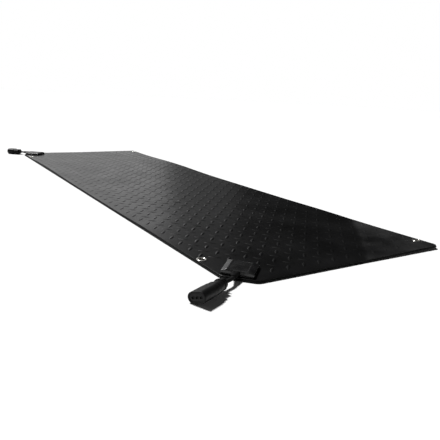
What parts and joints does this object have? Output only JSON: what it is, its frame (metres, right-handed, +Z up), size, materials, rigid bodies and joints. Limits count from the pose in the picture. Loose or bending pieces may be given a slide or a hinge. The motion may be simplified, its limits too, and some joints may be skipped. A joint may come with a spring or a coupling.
{
  "type": "seedling heat mat",
  "caption": "Long flat rubber heat mat with a checker-plate top, eyelets near its corners, and a corner power box with a corded connector at each end of one side.",
  "frame": {"origin": "middle of the mat's underside, on the surface that it lies on", "axes": "+Z up; +Y along the mat's long side, from the outlet end to the inlet end; the two power boxes are on the -X side"},
  "size_m": [0.5988, 1.607, 0.0218],
  "materials": {
    "mat_rubber": "satin",
    "edge_rubber": "matte",
    "box_plastic": "satin",
    "cord_rubber": "satin",
    "connector_rubber": "satin",
    "insert_plastic": "gloss",
    "nickel": "polished",
    "contact_brass": "satin",
    "wire_copper": "satin",
    "core_plastic": "gloss",
    "scrim_glass": "matte",
    "foil": "satin",
    "plate_steel": "satin",
    "block_plastic": "matte",
    "seal_rubber": "matte"
  },
  "bodies": {
    "root": {"base_sheet": "edge_rubber", "heating_cable": "wire_copper", "link_wires": "wire_copper", "glass_scrim": "scrim_glass", "earth_foil": "foil", "top_sheet": "mat_rubber", "grommet_eyelets": "nickel", "grommet_washers": "nickel", "outlet_backing_plate": "plate_steel", "outlet_box_tray": "box_plastic", "outlet_box_gasket": "seal_rubber", "outlet_box_cover": "box_plastic", "outlet_box_screws": "plate_steel", "outlet_terminal_block": "block_plastic", "outlet_terminals": "contact_brass", "outlet_cores": "core_plastic", "outlet_strain_relief": "cord_rubber", "outlet_cord": "cord_rubber", "outlet_boot": "connector_rubber", "outlet_grip": "connector_rubber", "outlet_nose": "connector_rubber", "outlet_insert": "insert_plastic", "outlet_contacts": "contact_brass", "inlet_backing_plate": "plate_steel", "inlet_box_tray": "box_plastic", "inlet_box_gasket": "seal_rubber", "inlet_box_cover": "box_plastic", "inlet_box_screws": "plate_steel", "inlet_terminal_block": "block_plastic", "inlet_terminals": "contact_brass", "inlet_cores": "core_plastic", "thermal_cutout": "plate_steel", "inlet_strain_relief": "cord_rubber", "inlet_cord": "cord_rubber", "inlet_boot": "connector_rubber", "inlet_grip": "connector_rubber", "inlet_shroud": "connector_rubber", "inlet_insert": "insert_plastic", "inlet_pins": "contact_brass", "inlet_seal_ring": "seal_rubber"}
  },
  "joints": []
}
